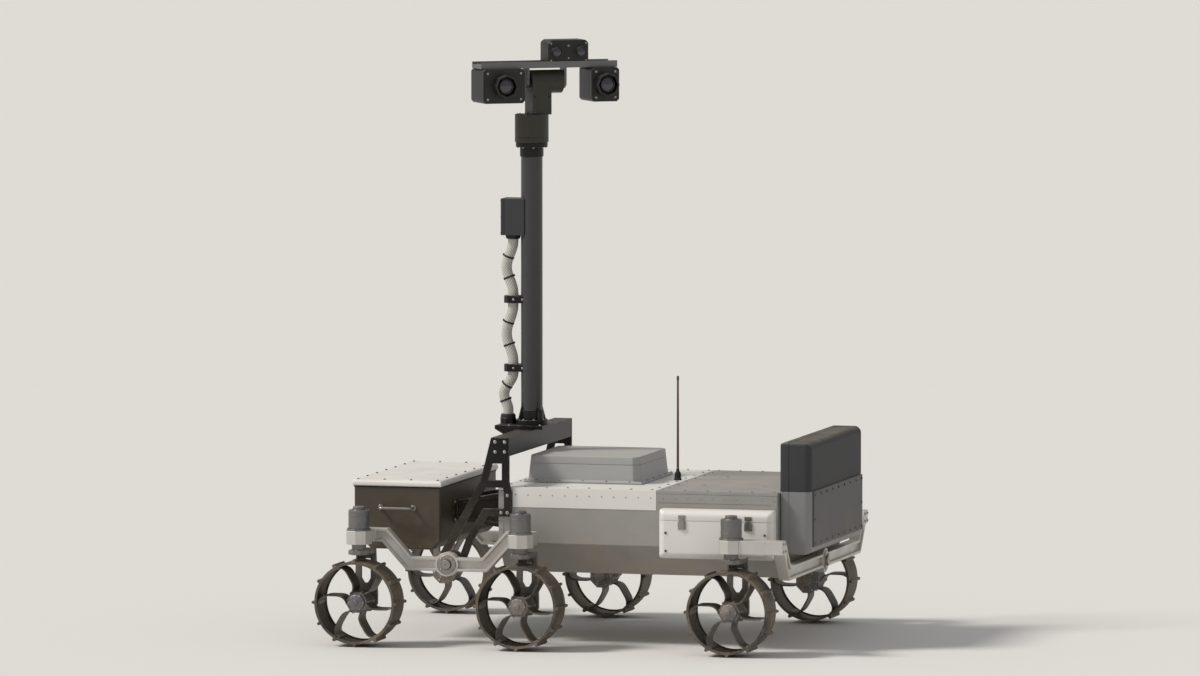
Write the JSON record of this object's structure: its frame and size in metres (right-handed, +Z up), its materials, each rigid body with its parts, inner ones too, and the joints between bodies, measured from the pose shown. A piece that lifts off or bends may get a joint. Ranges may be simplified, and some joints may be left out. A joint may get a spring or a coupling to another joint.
{
  "type": "planetary rover prototype",
  "caption": "Full-scale planetary rover prototype: bogie chassis on steered, driven flexible metal wheels, boxy body with side panniers, front payload box and a pan and tilt camera mast.",
  "frame": {"origin": "on the ground under the middle of the rover's overall box", "axes": "+X the way the rover drives, +Y its left side, +Z up"},
  "size_m": [1.601, 1.22, 1.9363],
  "materials": {
    "body_panel": "satin, dusty",
    "white_paint": "matt white paint",
    "grey_paint": "matt light grey paint",
    "charcoal_case": "matt charcoal",
    "mid_grey_paint": "matt mid grey paint",
    "black_anodised": "black anodised",
    "olive_case": "matt dark olive brown",
    "bare_aluminium": "bare, machined",
    "steel": "turned",
    "motor_case": "anodised grey",
    "mast_black": "woven carbon, satin",
    "harness_sleeve": "light grey braided sleeve",
    "antenna_rod": "brown rod",
    "head_olive": "matt dark olive",
    "bench_grey": "bare, machined",
    "camera_black": "matt black",
    "wheel_metal": "dusty dark grey metal"
  },
  "bodies": {
    "chassis": {"body_tub": "body_panel", "deck_panel_front": "white_paint", "deck_panel_rear": "body_panel", "deck_box": "grey_paint", "pannier_left": "white_paint", "pannier_right": "white_paint", "rear_case": "charcoal_case", "rear_case_panel": "mid_grey_paint", "crossbeam": "black_anodised", "frame_plate_left": "black_anodised", "frame_plate_right": "black_anodised", "front_arms": "black_anodised", "front_box": "olive_case", "front_box_lid": "white_paint", "bogie_left": "bare_aluminium", "bogie_right": "bare_aluminium", "bogie_rear": "bare_aluminium", "rear_pivot": "steel", "steering_motors": "motor_case", "mast_foot": "black_anodised", "mast_tube": "mast_black", "junction_box": "charcoal_case", "mast_harness": "harness_sleeve", "mast_clamps": "black_anodised", "whip_antenna": "antenna_rod"},
    "steer_front_left": {"knuckle_front_left": "motor_case"},
    "wheel_front_left": {"wheel_front_left": "wheel_metal"},
    "steer_front_right": {"knuckle_front_right": "motor_case"},
    "wheel_front_right": {"wheel_front_right": "wheel_metal"},
    "steer_middle_left": {"knuckle_middle_left": "motor_case"},
    "wheel_middle_left": {"wheel_middle_left": "wheel_metal"},
    "steer_middle_right": {"knuckle_middle_right": "motor_case"},
    "wheel_middle_right": {"wheel_middle_right": "wheel_metal"},
    "steer_rear_left": {"knuckle_rear_left": "motor_case"},
    "wheel_rear_left": {"wheel_rear_left": "wheel_metal"},
    "steer_rear_right": {"knuckle_rear_right": "motor_case"},
    "wheel_rear_right": {"wheel_rear_right": "wheel_metal"},
    "head_pan": {"pan_unit": "head_olive"},
    "head_tilt": {"camera_bench": "bench_grey", "camera_left": "camera_black", "camera_right": "camera_black", "navigation_camera": "camera_black"}
  },
  "joints": [
    {"name": "steer_front_left", "type": "hinge", "parent": "chassis", "child": "steer_front_left", "pos_m": [0.658, 0.55, 0.31], "axis": [0, 0, 1], "range_deg": [-50, 50]},
    {"name": "roll_front_left", "type": "hinge", "parent": "steer_front_left", "child": "wheel_front_left", "pos_m": [0.658, 0.55, 0.1425], "axis": [0, 1, 0], "continuous": true},
    {"name": "steer_front_right", "type": "hinge", "parent": "chassis", "child": "steer_front_right", "pos_m": [0.658, -0.55, 0.31], "axis": [0, 0, 1], "range_deg": [-50, 50]},
    {"name": "roll_front_right", "type": "hinge", "parent": "steer_front_right", "child": "wheel_front_right", "pos_m": [0.658, -0.55, 0.1425], "axis": [0, 1, 0], "continuous": true},
    {"name": "steer_middle_left", "type": "hinge", "parent": "chassis", "child": "steer_middle_left", "pos_m": [0.118, 0.55, 0.31], "axis": [0, 0, 1], "range_deg": [-50, 50]},
    {"name": "roll_middle_left", "type": "hinge", "parent": "steer_middle_left", "child": "wheel_middle_left", "pos_m": [0.118, 0.55, 0.1425], "axis": [0, 1, 0], "continuous": true},
    {"name": "steer_middle_right", "type": "hinge", "parent": "chassis", "child": "steer_middle_right", "pos_m": [0.118, -0.55, 0.31], "axis": [0, 0, 1], "range_deg": [-50, 50]},
    {"name": "roll_middle_right", "type": "hinge", "parent": "steer_middle_right", "child": "wheel_middle_right", "pos_m": [0.118, -0.55, 0.1425], "axis": [0, 1, 0], "continuous": true},
    {"name": "steer_rear_left", "type": "hinge", "parent": "chassis", "child": "steer_rear_left", "pos_m": [-0.582, 0.55, 0.31], "axis": [0, 0, 1], "range_deg": [-50, 50]},
    {"name": "roll_rear_left", "type": "hinge", "parent": "steer_rear_left", "child": "wheel_rear_left", "pos_m": [-0.582, 0.55, 0.1425], "axis": [0, 1, 0], "continuous": true},
    {"name": "steer_rear_right", "type": "hinge", "parent": "chassis", "child": "steer_rear_right", "pos_m": [-0.582, -0.55, 0.31], "axis": [0, 0, 1], "range_deg": [-50, 50]},
    {"name": "roll_rear_right", "type": "hinge", "parent": "steer_rear_right", "child": "wheel_rear_right", "pos_m": [-0.582, -0.55, 0.1425], "axis": [0, 1, 0], "continuous": true},
    {"name": "head_pan", "type": "hinge", "parent": "chassis", "child": "head_pan", "pos_m": [0.23, 0, 1.6043], "axis": [0, 0, 1], "range_deg": [-305, 55]},
    {"name": "head_tilt", "type": "hinge", "parent": "head_pan", "child": "head_tilt", "pos_m": [0.23, 0, 1.8003], "axis": [-0.8192, -0.5736, 0], "range_deg": [-90, 90]}
  ]
}
